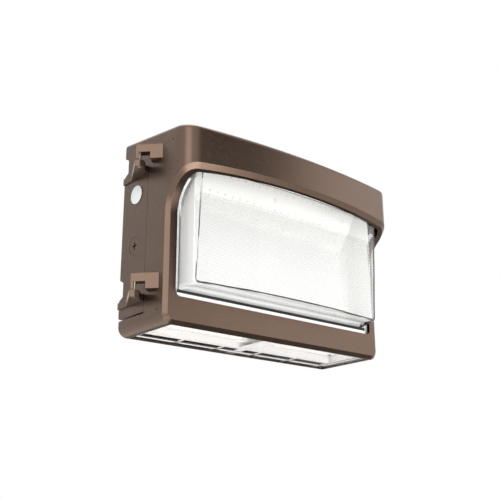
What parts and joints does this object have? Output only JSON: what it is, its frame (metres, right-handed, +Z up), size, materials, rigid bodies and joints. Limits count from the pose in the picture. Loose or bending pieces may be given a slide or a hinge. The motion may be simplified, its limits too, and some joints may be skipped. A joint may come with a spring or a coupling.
{
  "type": "wall pack light",
  "caption": "Bronze outdoor wall pack light with a bowed visor, a clear ribbed front lens, a lens underneath, a photocell and a hinged front that swings open to the left.",
  "frame": {"origin": "centre of the wall fixing holes, on the back face that lies on the wall", "axes": "+X to the right as seen by someone facing the light, +Y backwards into the wall, +Z up"},
  "size_m": [0.4018, 0.1535, 0.26],
  "materials": {
    "bronze_paint": "bronze powder coat on die-cast aluminium",
    "seal_rubber": "moulded silicone",
    "black_plastic": "moulded nylon",
    "milky_plastic": "milky polycarbonate",
    "bare_steel": "stainless, as turned",
    "green_screw": "green dyed zinc plate",
    "tinned_brass": "tin plate, pressed",
    "clear_lens": "clear moulded polycarbonate",
    "white_reflector": "white gloss coat",
    "white_board": "white solder mask on aluminium",
    "led_phosphor": "cast silicone over phosphor",
    "driver_case": "white painted pressed steel",
    "lead_insulation": "extruded silicone insulation"
  },
  "bodies": {
    "box": {"back_box": "bronze_paint", "box_gasket": "seal_rubber", "wall_gasket": "seal_rubber", "conduit_plugs": "bronze_paint", "conduit_rings": "seal_rubber", "photocell_base": "black_plastic", "photocell_window": "milky_plastic", "photocell_gasket": "seal_rubber", "photocell_nut": "black_plastic", "hinge_pins": "bare_steel", "terminal_block": "black_plastic", "terminal_screws": "bare_steel", "ground_screw": "green_screw", "ground_tag": "tinned_brass"},
    "front": {"front_housing": "bronze_paint", "front_lens": "clear_lens", "front_lens_gasket": "seal_rubber", "lens_clips": "bare_steel", "lens_screws": "bare_steel", "reflector_tray": "white_reflector", "tray_screws": "bare_steel", "upper_led_board": "white_board", "upper_board_screws": "bare_steel", "upper_led_chips": "led_phosphor", "bottom_lens": "clear_lens", "bottom_lens_gasket": "seal_rubber", "bottom_lens_clips": "bronze_paint", "bottom_reflector": "white_reflector", "bottom_board_left": "white_board", "bottom_board_right": "white_board", "bottom_board_screws": "bare_steel", "bottom_led_chips": "led_phosphor", "led_driver": "driver_case", "surge_protector": "black_plastic", "driver_screws": "bare_steel", "lead_grommets": "seal_rubber", "led_leads": "lead_insulation"},
    "closing_screw_lower": {"closure_screw_lower": "bare_steel", "closure_clip_lower": "bare_steel"},
    "closing_screw_upper": {"closure_screw_upper": "bare_steel", "closure_clip_upper": "bare_steel"}
  },
  "joints": [
    {"name": "front_swing", "type": "hinge", "parent": "box", "child": "front", "pos_m": [-0.1975, -0.063, 0], "axis": [0, 0, -1], "range_deg": [0, 110]},
    {"name": "lower_screw_draw", "type": "slide", "parent": "front", "child": "closing_screw_lower", "axis": [0, -1, 0], "range_m": [0, 0.009]},
    {"name": "upper_screw_draw", "type": "slide", "parent": "front", "child": "closing_screw_upper", "axis": [0, -1, 0], "range_m": [0, 0.009]}
  ]
}
